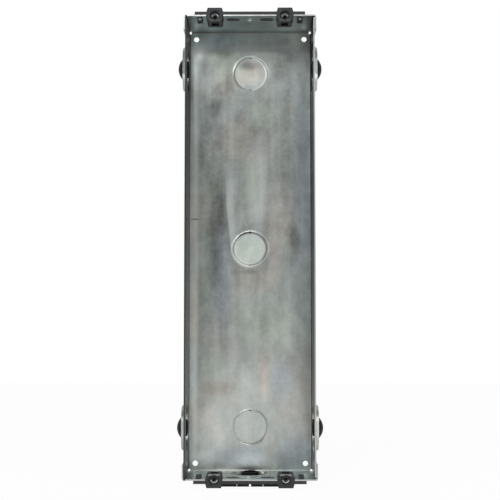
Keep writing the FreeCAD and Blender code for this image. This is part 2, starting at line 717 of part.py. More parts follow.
def make_parts():
    half_turn = Rotation(Vector(0, 1, 0), 180)
    parts = [make_steel_box(), make_clip_bar("top_clip_bar", False)]
    bottom_bar = make_clip_bar("bottom_clip_bar", True)
    place(bottom_bar, 0, 0, 0, half_turn)
    parts.append(bottom_bar)

    nut_y = size["nut_from_rim"] + size["nut_clearance"] + size["nut_thickness"] - depth
    facing_out = Rotation(Vector(1, 0, 0), 90)
    for level, sign_z in (("top", 1), ("bottom", -1)):
        for hand, sign_x in (("left", -1), ("right", 1)):
            nut = make_nut("%s_%s_nut" % (level, hand))
            place(nut, screw_x * sign_x, nut_y, screw_z * sign_z, facing_out)
            parts.append(nut)

    for level, sign_z, rotation in (("top", 1, Rotation()), ("bottom", -1, half_turn)):
        rivet = make_rivet(level + "_bar_rivet")
        place(rivet, 0, cutout_y, inner_end * sign_z, rotation)
        parts.append(rivet)

    seat = side + size["dish_depth"]
    for level, sign_z in (("upper", 1), ("lower", -1)):
        for hand, sign_x in (("left", -1), ("right", 1)):
            plug = make_plug("%s_%s_plug" % (level, hand))
            place(plug, seat * sign_x, -mid_depth, entry_z * sign_z,
                  Rotation(Vector(0, 1, 0), 90 * sign_x))
            parts.append(plug)
    bottom_plug = make_plug("bottom_entry_plug")
    place(bottom_plug, 0, bottom_entry_y, -end - size["end_dish_depth"],
          Rotation(Vector(1, 0, 0), 180))
    parts.append(bottom_plug)
    document.recompute()
    return parts


def check_and_write(parts):
    """Stops on any failed object or bad shape, then writes one STEP file for each piece."""
    for made in document.Objects:
        if "Invalid" in made.State or "Error" in made.State:
            raise RuntimeError("%s failed: %s" % (made.Label, made.State))
    for part in parts:
        if part.Shape.isNull() or not part.Shape.isValid() or len(part.Shape.Solids) != 1:
            raise RuntimeError("%s is not one valid solid" % part.Label)
    os.makedirs("parts", exist_ok=True)
    for part in parts:
        part.Shape.exportStep(os.path.join("parts", part.Label + ".step"))
        print("%-20s %10.1f mm3  %s" % (part.Label, part.Shape.Volume, part.Shape.BoundBox))


check_and_write(make_parts())
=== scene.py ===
# Flush back box: camera, studio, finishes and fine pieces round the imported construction.
#
# The scene is in metres. X runs across the box, Y through its depth and Z up its height, and the box
# opens towards -Y. Sizes of the box are written in millimetres and come times MM where they are used.

import math

import bmesh
import bpy
from mathutils import Matrix, Vector


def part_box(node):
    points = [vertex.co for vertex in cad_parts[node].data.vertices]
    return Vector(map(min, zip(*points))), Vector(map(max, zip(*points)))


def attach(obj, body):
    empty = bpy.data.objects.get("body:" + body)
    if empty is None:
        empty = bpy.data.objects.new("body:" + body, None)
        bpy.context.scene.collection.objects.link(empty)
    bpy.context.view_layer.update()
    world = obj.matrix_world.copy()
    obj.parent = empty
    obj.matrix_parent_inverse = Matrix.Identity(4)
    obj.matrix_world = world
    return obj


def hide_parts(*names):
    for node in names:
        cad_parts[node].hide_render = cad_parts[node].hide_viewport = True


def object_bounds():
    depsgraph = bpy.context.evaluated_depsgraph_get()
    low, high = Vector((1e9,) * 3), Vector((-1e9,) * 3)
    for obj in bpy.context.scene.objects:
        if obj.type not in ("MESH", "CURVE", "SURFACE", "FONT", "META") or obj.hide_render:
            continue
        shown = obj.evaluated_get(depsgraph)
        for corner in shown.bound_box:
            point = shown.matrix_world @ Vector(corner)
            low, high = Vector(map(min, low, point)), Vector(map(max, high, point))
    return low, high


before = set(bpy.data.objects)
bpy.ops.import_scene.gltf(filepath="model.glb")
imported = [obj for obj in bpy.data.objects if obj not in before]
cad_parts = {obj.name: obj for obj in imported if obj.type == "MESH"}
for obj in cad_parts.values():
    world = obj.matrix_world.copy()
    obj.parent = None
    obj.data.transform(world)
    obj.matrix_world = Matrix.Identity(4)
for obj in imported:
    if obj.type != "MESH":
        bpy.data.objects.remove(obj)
cad_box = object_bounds()

MM = 0.001
steel_low, steel_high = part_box("steel_box")


def middle_of(node):
    low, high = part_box(node)
    return (low + high) / 2


# Sizes of the construction, in millimetres
SHEET = 1.2
BEND = 1.0  # inside radius of the folds; the base's inner face is at Y = -SHEET
RIM_Y = steel_low.y / MM
WALL_FACE = 57.8  # inner faces of the long walls, left and right of X = 0
END_FACE = steel_high.z / MM - SHEET  # inner faces of the end walls, above and below Z = 0
KNOCKOUT_Z = 168  # upper and lower knock-out, above and below the middle one
DISC_RADIUS = 15.3
SCREW_X = middle_of("top_right_nut").x / MM
SCREW_Z = middle_of("top_right_nut").z / MM
NUT_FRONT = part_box("top_right_nut")[0].y / MM


# Camera, floor, backdrop and lamps, in metres

SENSOR_WIDTH, FOCAL_LENGTH = 36, 67.05  # mm
SHIFT_UP = 0.039
CAMERA_PLACE = (0.00677, -0.88372, -0.07008)
CAMERA_TILT, CAMERA_TURN = 3.261, 0.456  # degrees upwards and to the left
NEAR_END, FAR_END = 0.05, 20  # of what the camera sees
STAGE_REACH = 4  # how far the floor and the backdrop go to each side, forwards and up
BACKDROP_Y = 1.4
FLOOR_GAP = 0.0002  # between the box and the floor
WORLD_GREY = (0.40, 0.41, 0.42, 1)
# Name, place, width, height and watts. All are aimed at the middle of the box.
LAMPS = (
    ("key_softbox", (-0.7, -1.9, 1.7), 1.5, 1.5, 36),
    ("left_softbox", (-1.9, -0.9, -0.25), 1.0, 1.4, 10),
    ("right_softbox", (1.9, -0.9, -0.15), 1.0, 1.5, 13),
)


def make_camera():
    data = bpy.data.cameras.new("camera")
    data.sensor_width = SENSOR_WIDTH
    data.lens = FOCAL_LENGTH
    data.shift_y = SHIFT_UP
    data.clip_start = NEAR_END
    data.clip_end = FAR_END
    camera = bpy.data.objects.new("camera", data)
    camera.location = CAMERA_PLACE
    camera.rotation_euler = (math.radians(90 + CAMERA_TILT), 0, math.radians(CAMERA_TURN))
    bpy.context.scene.collection.objects.link(camera)
    bpy.context.scene.camera = camera


def make_mesh_object(name, mesh):
    thing = bpy.data.objects.new(name, mesh)
    bpy.context.scene.collection.objects.link(thing)
    return thing


def make_plane(name, corners, material):
    mesh = bpy.data.meshes.new(name)
    mesh.from_pydata(corners, [], [(0, 1, 2, 3)])
    mesh.materials.append(material)
    thing = make_mesh_object(name, mesh)


def make_lamp(name, place, width, height, watts):
    data = bpy.data.lights.new(name, "AREA")
    data.shape = "RECTANGLE"
    data.size = width
    data.size_y = height
    data.energy = watts
    lamp = bpy.data.objects.new(name, data)
    lamp.location = place
    aim = -Vector(place)
    lamp.rotation_euler = aim.to_track_quat("-Z", "Y").to_euler()
    bpy.context.scene.collection.objects.link(lamp)


def make_studio():
    left, right, front, top = -STAGE_REACH, STAGE_REACH, -STAGE_REACH, STAGE_REACH
    ground = cad_box[0].z - FLOOR_GAP
    rear_edge = [(left, BACKDROP_Y, ground), (right, BACKDROP_Y, ground)]
    front_edge = [(left, front, ground), (right, front, ground)]
    top_edge = [(right, BACKDROP_Y, top), (left, BACKDROP_Y, top)]
    make_plane("floor", front_edge + rear_edge[::-1], pale_floor())
    make_plane("backdrop", rear_edge + top_edge, white_backdrop())
    world = bpy.data.worlds.new("studio")
    bpy.context.scene.world = world
    world.use_nodes = True
    world.node_tree.nodes["Background"].inputs["Color"].default_value = WORLD_GREY
    for lamp in LAMPS:
        make_lamp(*lamp)
    scene = bpy.context.scene
    scene.view_settings.view_transform = "Standard"


# Material nodes

def new_material(name):
    material = bpy.data.materials.new(name)
    material.use_nodes = True
    tree = material.node_tree
    shader = tree.nodes["Principled BSDF"]
    return material, tree, shader


def add_node(tree, kind, sockets=None, **settings):
    """A new node. Each socket takes a plain value or a link from another node's output."""
    made = tree.nodes.new(kind)
    for name, value in settings.items():
        setattr(made, name, value)
    for name, value in (sockets or {}).items():
        if isinstance(value, bpy.types.NodeSocket):
            tree.links.new(value, made.inputs[name])
        else:
            made.inputs[name].default_value = value
    return made


def place_of(tree):
    return add_node(tree, "ShaderNodeTexCoord").outputs["Object"]


def axes_of(tree, place):
    return add_node(tree, "ShaderNodeSeparateXYZ", {"Vector": place}).outputs


def stretched(tree, place, scale, location=(0, 0, 0)):
    return add_node(tree, "ShaderNodeMapping", {
        "Vector": place, "Scale": scale, "Location": location}).outputs["Vector"]


def clouds(tree, place, scale, detail, roughness):
    return add_node(tree, "ShaderNodeTexNoise", {
        "Vector": place, "Scale": scale, "Detail": detail, "Roughness": roughness}).outputs["Fac"]


def spot(tree, place, middle, half, turn=0.0):
    """1 in the middle of an oval and 0 from its edge on. Millimetres, and degrees round Y."""
    local = add_node(tree, "ShaderNodeMapping", {
        "Vector": place, "Location": [part * MM for part in middle],
        "Rotation": (0, math.radians(turn), 0), "Scale": [part * MM for part in half]},
        vector_type="TEXTURE").outputs["Vector"]
    return add_node(tree, "ShaderNodeTexGradient", {"Vector": local},
                    gradient_type="SPHERICAL").outputs["Fac"]


def rescaled(tree, value, low, high, to_low, to_high, smooth=False):
    return add_node(tree, "ShaderNodeMapRange", {
        "Value": value, "From Min": low, "From Max": high, "To Min": to_low, "To Max": to_high},
        interpolation_type="SMOOTHSTEP" if smooth else "LINEAR").outputs["Result"]


def ramp(tree, value, start, end, at_start=0, at_end=1, smooth=False):
    """Goes from one number to another while the value goes from start to end, in millimetres."""
    return rescaled(tree, value, start * MM, end * MM, at_start, at_end, smooth)


def fall(tree, value, start, end, smooth=False):
    """Goes from 1 to 0 while the value goes from start to end, in millimetres."""
    return ramp(tree, value, start, end, 1, 0, smooth)


def combine(tree, operation, first, second):
    made = tree.nodes.new("ShaderNodeMath")
    made.operation = operation
    for index, value in enumerate((first, second)):
        if isinstance(value, bpy.types.NodeSocket):
            tree.links.new(value, made.inputs[index])
        else:
            made.inputs[index].default_value = value
    return made.outputs[0]


def product(tree, first, *others):
    for other in others:
        first = combine(tree, "MULTIPLY", first, other)
    return first


def absolute(tree, value):
    return combine(tree, "ABSOLUTE", value, 0)


def blend_colours(tree, amount, first, second, kind="MIX"):
    made = tree.nodes.new("ShaderNodeMix")
    made.data_type = "RGBA"
    made.blend_type = kind
    for index, value in ((0, amount), (6, first), (7, second)):
        if isinstance(value, bpy.types.NodeSocket):
            tree.links.new(value, made.inputs[index])
        elif index == 0:
            made.inputs[index].default_value = value
        else:
            made.inputs[index].default_value = (*value, 1)
    return made.outputs[2]


def mixed_value(tree, amount, first, second):
    mixed = add_node(tree, "ShaderNodeMix", {"Factor": amount, "A": first, "B": second})
    return mixed.outputs["Result"]


def bumped(tree, height, distance, strength):
    """A normal for relief that is as deep as the distance, in millimetres."""
    return add_node(tree, "ShaderNodeBump", {
        "Height": height, "Distance": distance * MM, "Strength": strength}).outputs["Normal"]


# Zinc on the folded sheet

# Marks on the base, partly the zinc's own tone and a scratch, partly painted light and shade such as the
# highlight along the left fold and the softened shadow edge under the top end wall: x, z, half width, half
# height (mm), turn (degrees), how much lighter
ZINC_MARKS_AND_PAINTED_LIGHT = (
    (0, 197, 70, 16, 0, 0.05),
    (0, 110, 80, 70, 0, -0.14),
    (0, 191, 90, 8, 0, 0.12),
    (0, 179, 90, 10, 0, -0.14),
    (-42, 172, 14, 12, 0, -0.16),
    (-40, 145, 20, 24, 0, -0.10),
    (-40, 190, 20, 12, 0, 0.38),
    (-30, 197, 11, 6, 0, 0.22),
    (32, 197, 11, 6, 0, 0.20),
    (24, 193, 36, 9, 0, -0.06),
    (-31, 189, 17, 5, -6, -0.22),
    (-29, 172, 17, 19, 0, 0.04),
    (-50, 192, 12, 14, 0, 0.70),
    (-35, 200, 20, 9, 0, 0.60),
    (-41, 186, 8, 7, 0, -0.22),
    (36, 199, 22, 11, 0, 0.50),
    (42, 183, 16, 6, 0, -0.14),
    (-26, 150, 15, 22, 0, -0.30),
    (-20, 166, 8, 18, 0, -0.30),
    (29, 172, 10, 14, 0, -0.28),
    (-29, 107, 9, 18, 0, -0.22),
    (-38, 125, 14, 24, 0, -0.18),
    (-52, 180, 8, 22, 0, 0.50),
    (-54, 170, 5, 24, 0, 0.34),
    (-56, 150, 2.5, 14, 0, -0.30),
    (55, 178, 4, 13, 0, -0.26),
    (24, 165, 8, 14, 0, -0.08),
    (-34, 134, 12, 15, 0, -0.24),
    (45, 140, 9, 45, 0, 0.10),
    (10, 130, 22, 16, 0, 0.10),
    (-42, 90, 16, 50, 0, -0.22),
    (-33, 22, 13, 74, 3, -0.40),
    (-36, -48, 16, 46, 0, -0.18),
    (-26, -84, 7, 26, 0, -0.14),
    (6, 60, 16, 60, 0, 0.38),
    (0, -50, 22, 30, 0, 0.22),
    (28, -70, 22, 50, 0, 0.18),
    (14, -125, 34, 30, 0, 0.10),
    (-12, 26, 7, 22, 14, 0.16),
    (26, 20, 14, 60, 0, 0.16),
    (41, 10, 10, 20, -8, -0.34),
    (43, 30, 8, 60, 0, -0.10),
    (-1, -22, 12, 3.4, 0, -0.26),
    (-15.5, -22, 5, 5, 0, -0.20),
    (-15, -58, 8, 16, 0, -0.14),
    (14, -46, 16, 12, 0, 0.08),
    (24, -26, 16, 22, 0, 0.20),
    (6, 32, 20, 14, 0, 0.12),
    (4, -84, 12, 20, 0, 0.20),
    (-29, -18, 8, 30, 0, -0.14),
    (-44, -198, 20, 12, 0, 0.45),
    (20, -90, 34, 22, -28, 0.12),
    (0, -150, 70, 70, 0, 0.30),
    (0, -205, 70, 10, 0, 0.30),
    (-29, -132, 24, 11, 0, -0.30),
    (-40, -175, 26, 34, 0, 0.28),
    (-31, -199, 12, 6, 0, 0.25),
    (0, -199, 26, 10, 0, 0.40),
    (0, -202, 15, 8, 0, 0.35),
    (45, -192, 22, 20, 0, -0.14),
    (8, -200, 24, 3, 0, -0.10),
    (54, -130, 8, 60, 0, -0.08),
    (-54, 0, 6.5, 400, 0, 0.74),
    (-53, 28.2, 6, 0.9, 0, -1.10),
    (-4.1, 23.2, 0.8, 7.5, -21, 0.40),
    (0, 183.3, 2.4, 1.1, 0, -0.85),
    (0, 152.6, 2.4, 1.0, 0, -0.70),
    (0, 15.3, 2.4, 1.0, 0, -0.55),
    (0, -15.3, 2.2, 1.0, 0, -0.55),
    (0, -152.7, 1.9, 1.0, 0, -0.95),
    (-2, 176, 12, 7, 0, -0.46),
    (5, 161, 12, 9, 0, 0.20),
)
# Painted highlights on the knock-outs' lips and painted shade in their sheared lines, in arcs round the
# knock-outs: z, radius, fade (mm), side it faces (degrees from +X), cosine at which it ends, how much
# lighter
ARC_HIGHLIGHTS_AND_SHADE = (
    (KNOCKOUT_Z, 17.0, 2.0, 80, -0.6, 0.85),
    (KNOCKOUT_Z, 16.0, 2.2, 25, 0.1, 0.60),
    (KNOCKOUT_Z, 15.4, 1.5, -60, 0.1, 0.40),
    (KNOCKOUT_Z, 15.1, 0.9, 190, 0.1, -0.55),
    (KNOCKOUT_Z, 15.2, 1.2, 0, -0.3, 0.80),
    (0, 17.2, 2.2, 208, -0.3, 0.80),
    (0, 17.3, 1.4, 45, -0.1, 0.50),
    (0, 16.2, 1.3, 137, 0.3, -0.90),
    (0, 14.8, 1.5, 205, 0.0, 0.60),
    (0, 14.7, 1.5, 25, -0.45, -0.70),
    (0, 14.5, 1.7, 125, 0.4, -0.45),
    (-KNOCKOUT_Z, 15.5, 0.8, -30, -0.2, -0.42),
    (-KNOCKOUT_Z, 15.5, 0.7, 150, 0.3, -0.24),
)
# Places of each tint on the base: x, z, half width, half height (mm)
BLUE_MARKS = (
    (-28, -25, 14, 70), (0, 98, 14, 14), (50, 60, 14, 140), (45, -192, 30, 26),
    (30, -125, 16, 30), (-30, 200, 30, 14), (-10, -196, 44, 16),
)
BEIGE_MARKS = (
    (12, -118, 10, 40), (-29, -132, 24, 11), (24, 10, 14, 70), (-20, 160, 14, 26),
    (6, -30, 24, 20), (0, 168, 17, 17), (-54, -60, 5, 60), (-10, 104, 30, 34),
)
GREEN_MARKS = (
    (16, -72, 44, 34), (-38, 60, 14, 30), (-44, -20, 9, 70), (-36, -112, 16, 16),
    (12, 128, 22, 20), (0, 0, 18, 18), (-24, 178, 22, 26), (0, 62, 14, 30),
)
MARK_DEPTH = 20  # half thickness of a mark, in mm
MARK_FULL = 0.8  # a mark has its full strength this far from its edge to its middle
ARC_FULL = 0.9  # cosine from which an arc has its full strength
DISC_TONES = ((KNOCKOUT_Z, 0.22), (0, 0.86), (-KNOCKOUT_Z, 0.08))  # z, how much lighter
DISC_DEPTH = 1000  # so thick that a disc's tone hardly changes with depth, in mm
DISC_RISE = 0.04  # share of a disc's radius within which its tone sets in

# Painted light and shade of a crease in the sheet beside the middle knock-out
CREASE_FOOT, CREASE_HEAD = (-18.4, 0.9), (-23.1, 44.6)  # x, z (mm) of two points on the left side of the crease's painted light and shade
CREASE_LOW_END, CREASE_HIGH_END = (-8, 4), (35, 85)  # where it sets in and fades away, along Z (mm)
CREASE_LIGHT, LIGHT_START, LIGHT_END = 0.40, (-0.4, 0.8), (1.5, 11)  # how much lighter, from and to (mm)
CREASE_SHADE, DARK_START, DARK_END = 0.16, (-14, -2), (-1.0, 0.2)  # how much darker, left of the side

COOL_ZINC, WARM_ZINC = (0.385, 0.425, 0.41), (0.43, 0.43, 0.40)
BLUE_GREY, BEIGE_GREY, GREEN_GREY = (0.385, 0.425, 0.445), (0.465, 0.445, 0.40), (0.40, 0.445, 0.39)
TOP_GREY = (0.37, 0.435, 0.435)
# Painted highlight on the cut edges at the rim, and painted shade on the left wall's edge
EDGE_HIGHLIGHT, SHADED_EDGE = (0.55, 0.56, 0.55), (0.06, 0.065, 0.062)
TINTS = ((BLUE_MARKS, BLUE_GREY), (BEIGE_MARKS, BEIGE_GREY), (GREEN_MARKS, GREEN_GREY))
TINT_STRENGTH = 0.8

# Painted shade on each long wall: where it starts and ends along Z (mm), and the tone at both, times the
# base's
LEFT_WALL_SHADE, RIGHT_WALL_SHADE = (-150, 150, 0.80, 0.24), (-150, 50, 1.0, 0.02)
# Painted light and shade on the other parts, times the base's tone: darker folds, top end wall and entry
# dish, a lighter bottom end wall
PART_LIGHT_AND_SHADE = {"bend": 0.25, "top": 0.92, "top_bend": 0.42, "bottom": 1.75, "dish": 0.30}
OFF_BASE_Y = -4.0  # from here on the walls have their own tone
DISH_Y, DISH_RADIUS = -15.6, 16.5  # the entry in the bottom wall
DISH_SPOT_HEIGHT = 50
DISH_ROUGHNESS = 0.85


def sum_of_marks(tree, place, marks):
    total = 0.0
    for x, z, width, height, *rest in marks:
        turn, weight = rest if rest else (0, 1.0)
        mark = spot(tree, place, (x, -SHEET, z), (width, MARK_DEPTH, height), turn)
        soft = rescaled(tree, mark, 0, MARK_FULL, 0, weight, smooth=True)
        total = combine(tree, "ADD", soft, total)
    return total


def sum_of_painted_arcs(tree, axes):
    """Painted highlights on the lips and painted shade in the sheared lines round the knock-outs, each
    strongest on one side.
    """
    total = 0.0
    for z, radius, fade, toward, narrow, weight in ARC_HIGHLIGHTS_AND_SHADE:
        height = combine(tree, "SUBTRACT", axes["Z"], z * MM)
        local = add_node(tree, "ShaderNodeCombineXYZ", {"X": axes["X"], "Z": height}).outputs["Vector"]
        reach = add_node(tree, "ShaderNodeVectorMath", {0: local}, operation="LENGTH")
        away = absolute(tree, combine(tree, "SUBTRACT", reach.outputs["Value"], radius * MM))
        band = fall(tree, away, 0, fade, smooth=True)
        outward = add_node(tree, "ShaderNodeVectorMath", {0: local}, operation="NORMALIZE")
        side = (math.cos(math.radians(toward)), 0, math.sin(math.radians(toward)))
        facing = add_node(tree, "ShaderNodeVectorMath", {0: outward.outputs["Vector"], 1: side},
                          operation="DOT_PRODUCT")
        share = rescaled(tree, facing.outputs["Value"], narrow, ARC_FULL, 0, weight, smooth=True)
        total = combine(tree, "ADD", combine(tree, "MULTIPLY", band, share), total)
    return total


def crease_light_and_shade(tree, axes):
    """Painted light and shade of a crease in the sheet, lighter right of a sharp side and darker left of
    it, which runs down beside the middle knock-out.
    """
    (foot_x, foot_z), (head_x, head_z) = CREASE_FOOT, CREASE_HEAD
    side = ramp(tree, axes["Z"], foot_z, head_z, foot_x * MM, head_x * MM)
    across = combine(tree, "SUBTRACT", axes["X"], side)
    along = product(tree, ramp(tree, axes["Z"], *CREASE_LOW_END, smooth=True),
                    fall(tree, axes["Z"], *CREASE_HIGH_END, smooth=True))
    light = product(tree, ramp(tree, across, *LIGHT_START, 0, CREASE_LIGHT, smooth=True),
                    fall(tree, across, *LIGHT_END, smooth=True), along)
    dark = product(tree, ramp(tree, across, *DARK_END, CREASE_SHADE, 0, smooth=True),
                   ramp(tree, across, *DARK_START, smooth=True), along)
    return combine(tree, "SUBTRACT", light, dark)


def base_marks_and_light(tree, place, axes):
    """How much lighter each place on the sheet's inner face is: marks of tone and painted light, painted
    arcs of highlight and shade, the crease's painted light and shade, and discs.
    """
    marks = sum_of_marks(tree, place, ZINC_MARKS_AND_PAINTED_LIGHT)
    marks = combine(tree, "ADD", marks, sum_of_painted_arcs(tree, axes))
    marks = combine(tree, "ADD", marks, crease_light_and_shade(tree, axes))
    for z, lighter in DISC_TONES:
        disc = spot(tree, place, (0, -SHEET, z), (DISC_RADIUS, DISC_DEPTH, DISC_RADIUS))
        marks = combine(tree, "ADD", rescaled(tree, disc, 0, DISC_RISE, 0, lighter), marks)
    off_rear_face = ramp(tree, axes["Y"], -0.3, -0.5)
    return combine(tree, "MULTIPLY", marks, off_rear_face)


def sheet_masks(tree, place, axes):
    """By name, 1 on one part of the sheet's inner side and 0 elsewhere."""
    across, depth, height = absolute(tree, axes["X"]), axes["Y"], axes["Z"]
    inside = fall(tree, across, WALL_FACE + SHEET / 2, WALL_FACE + 1.0)
    off_base = ramp(tree, depth, -SHEET, OFF_BASE_Y)
    by_base = ramp(tree, depth, -SHEET - BEND - 0.6, -SHEET - BEND - 0.1)
    off_flat = ramp(tree, depth, -SHEET, -SHEET - 0.1)
    masks = {
        "wall": product(tree, inside, off_base, ramp(tree, across, WALL_FACE - SHEET, WALL_FACE)),
        "bend": product(tree, inside, off_flat, by_base,
                        ramp(tree, across, WALL_FACE - BEND - 0.6, WALL_FACE - BEND)),
        "top": product(tree, inside, off_base, ramp(tree, height, END_FACE - 0.8, END_FACE - 0.2)),
        "top_bend": product(tree, inside, by_base,
                            ramp(tree, height, END_FACE - BEND - 0.4, END_FACE - BEND)),
        "bottom": product(tree, inside, off_base, ramp(tree, height, 0.8 - END_FACE, 0.2 - END_FACE)),
    }
    entry = spot(tree, place, (0, DISH_Y, -END_FACE), (DISH_RADIUS, DISH_RADIUS, DISH_SPOT_HEIGHT))
    masks["dish"] = combine(tree, "MULTIPLY", rescaled(tree, entry, 0.05, 0.2, 0, 1), masks["bottom"])
    return masks


def zinc_tone(tree, place, axes, masks, patterns):
    """How light the zinc is at each place, with the painted light and shade of the marks, the long walls,
    the folds, the end walls and the dish. 1 is plain.
    """
    tone = combine(tree, "ADD", base_marks_and_light(tree, place, axes), 1.0)
    for pattern, amount in patterns:
        shade = rescaled(tree, pattern, 0.25, 0.75, -amount / 2, amount / 2)
        tone = combine(tree, "ADD", tone, shade)
    # Painted shade on the long walls, darker towards the top
    on_right = combine(tree, "GREATER_THAN", axes["X"], 0)
    wall_shade = mixed_value(tree, on_right, ramp(tree, axes["Z"], *LEFT_WALL_SHADE),
                          ramp(tree, axes["Z"], *RIGHT_WALL_SHADE))
    tone = mixed_value(tree, masks["wall"], tone, combine(tree, "MULTIPLY", tone, wall_shade))
    # Painted light and shade on the folds, the end walls and the dish
    for part, factor in PART_LIGHT_AND_SHADE.items():
        tone = combine(tree, "MULTIPLY", tone, rescaled(tree, masks[part], 0, 1, 1, factor))
    return tone


def zinc_tint(tree, place, masks):
    """Cool and warm greys in clouds, with the tints of the base and of the top end wall."""
    moved = stretched(tree, place, (1, 1, 0.5), location=(3, 1, 7))
    hue = clouds(tree, moved, scale=22, detail=2, roughness=0.5)
    colour = blend_colours(tree, rescaled(tree, hue, 0.35, 0.65, 0, 1), COOL_ZINC, WARM_ZINC)
    for spots, tint in TINTS:
        weight = rescaled(tree, sum_of_marks(tree, place, spots), 0, 1, 0, TINT_STRENGTH)
        colour = blend_colours(tree, weight, colour, tint)
    return blend_colours(tree, combine(tree, "MULTIPLY", masks["top"], TINT_STRENGTH), colour, TOP_GREY)


def with_cut_edges(tree, axes, colour):
    """The sheet's edges at the rim carry a painted highlight, apart from the left wall's, which is painted
    in shade.
    """
    at_rim = ramp(tree, axes["Y"], RIM_Y + 0.05, RIM_Y + 0.02)
    on_left = combine(tree, "MULTIPLY", ramp(tree, axes["X"], 0.8 - WALL_FACE, 0.2 - WALL_FACE),
                      ramp(tree, axes["X"], -WALL_FACE - SHEET - 0.2, -WALL_FACE - SHEET))
    edge = blend_colours(tree, on_left, EDGE_HIGHLIGHT, SHADED_EDGE)
    return blend_colours(tree, at_rim, colour, edge)


def galvanised_steel():
    """Hot-dip zinc on sheet: dull, mottled grey with rolling streaks and fine spangle, and painted light
    and shade on the base, walls, folds and rim edges.
    """
    material, tree, shader = new_material("galvanised_steel")
    place = place_of(tree)
    axes = axes_of(tree, place)
    masks = sheet_masks(tree, place, axes)
    drift = clouds(tree, stretched(tree, place, (1, 1, 0.45)), scale=26, detail=4, roughness=0.6)
    streaks = clouds(tree, stretched(tree, place, (150, 150, 5)), scale=1, detail=4, roughness=0.65)
    mottle = clouds(tree, stretched(tree, place, (1, 1, 0.7)), scale=95, detail=4, roughness=0.6)
    grain = clouds(tree, place, scale=330, detail=3, roughness=0.6)
    patterns = ((drift, 0.34), (streaks, 0.16), (mottle, 0.32), (grain, 0.16))
    tone = zinc_tone(tree, place, axes, masks, patterns)
    grey = add_node(tree, "ShaderNodeCombineColor", {"Red": tone, "Green": tone, "Blue": tone})
    colour = blend_colours(tree, 1.0, zinc_tint(tree, place, masks), grey.outputs["Color"], "MULTIPLY")
    tree.links.new(with_cut_edges(tree, axes, colour), shader.inputs["Base Color"])
    shader.inputs["Metallic"].default_value = 1.0
    shader.inputs["Specular Tint"].default_value = (0.60, 0.63, 0.63, 1)
    rough = rescaled(tree, combine(tree, "ADD", mottle, streaks), 0.6, 1.4, 0.29, 0.36)
    rough = mixed_value(tree, masks["dish"], rough, DISH_ROUGHNESS)
    tree.links.new(rough, shader.inputs["Roughness"])
    waves = clouds(tree, stretched(tree, place, (1, 1, 0.5)), scale=30, detail=2, roughness=0.5)
    tree.links.new(bumped(tree, waves, distance=0.8, strength=0.5), shader.inputs["Normal"])
    return material


# Plastic, bright zinc and rubber

BLACK_PLASTIC, RUBBED_PLASTIC = (0.036, 0.037, 0.039), (0.074, 0.076, 0.079)
# Painted shade for the room behind each nut, and painted highlights for the screw blocks' lips, upper and
# lower
WINDOW_SHADE = (0.002, 0.003, 0.003)
TOP_LIP_HIGHLIGHT, BOTTOM_LIP_HIGHLIGHT = (0.12, 0.125, 0.125), (0.30, 0.31, 0.30)
# Painted highlight on the tips of the top bar's snap hooks
HOOK_HIGHLIGHT = (0.36, 0.37, 0.37)
# The painted shade in the room behind each nut and the painted highlight on the lip of each screw block:
# half width, height, depth (mm)
WINDOW_HALF, WINDOW_LOW, WINDOW_HIGH, WINDOW_FRONT = 3.4, 205.05, 209.0, -41.1
LIP_HALF, LIP_HIGH, LIP_REAR = 4.5, 205.2, -45.5
HOOK_X, HOOK_Y, HOOK_Z = 46, -43.6, 207.9  # tips of the top bar's snap hooks, which carry a painted highlight
HOOK_TIP = (1.9, 3.0, 1.3)  # half sizes

# The last of these is a painted highlight for the top rivet
DULL_ZINC, CLEAR_ZINC, RIVET_HIGHLIGHT = (0.62, 0.62, 0.59), (0.75, 0.75, 0.73), (0.95, 0.95, 0.93)
# Painted shade on the inner half of each nut's face
NUT_SHADE = (0.02, 0.02, 0.02)
NUT_SHADE_STRENGTH = 0.93
RIVET_REACH, NUT_REACH = 4, 20  # the rivet lies within one and the nuts beyond the other, along X

DARK_RUBBER, PALE_RUBBER = (0.004, 0.004, 0.005), (0.012, 0.012, 0.013)


def clip_plastic():
    """Black moulded plastic, satin, with a fine mould grain and a few rubbed places, painted shade behind
    the nuts and painted highlights on the blocks' lips and the hooks' tips.
    """
    material, tree, shader = new_material("clip_plastic")
    place = place_of(tree)
    axes = axes_of(tree, place)
    grain = clouds(tree, place, scale=1500, detail=3, roughness=0.6)
    rubbed = clouds(tree, place, scale=120, detail=4, roughness=0.65)
    amount = rescaled(tree, rubbed, 0.5, 0.75, 0, 0.5)
    colour = blend_colours(tree, amount, BLACK_PLASTIC, RUBBED_PLASTIC)
    colour = with_block_shade_and_highlight(tree, axes, colour)
    # Painted highlight on the tips of the top bar's snap hooks
    for x in (-HOOK_X, HOOK_X):
        tip = rescaled(tree, spot(tree, place, (x, HOOK_Y, HOOK_Z), HOOK_TIP), 0, 0.5, 0, 1)
        colour = blend_colours(tree, tip, colour, HOOK_HIGHLIGHT)
    tree.links.new(colour, shader.inputs["Base Color"])
    shader.inputs["Specular IOR Level"].default_value = 0.22
    tree.links.new(rescaled(tree, rubbed, 0.3, 0.7, 0.42, 0.58), shader.inputs["Roughness"])
    tree.links.new(bumped(tree, grain, distance=0.03, strength=0.6), shader.inputs["Normal"])
    return material


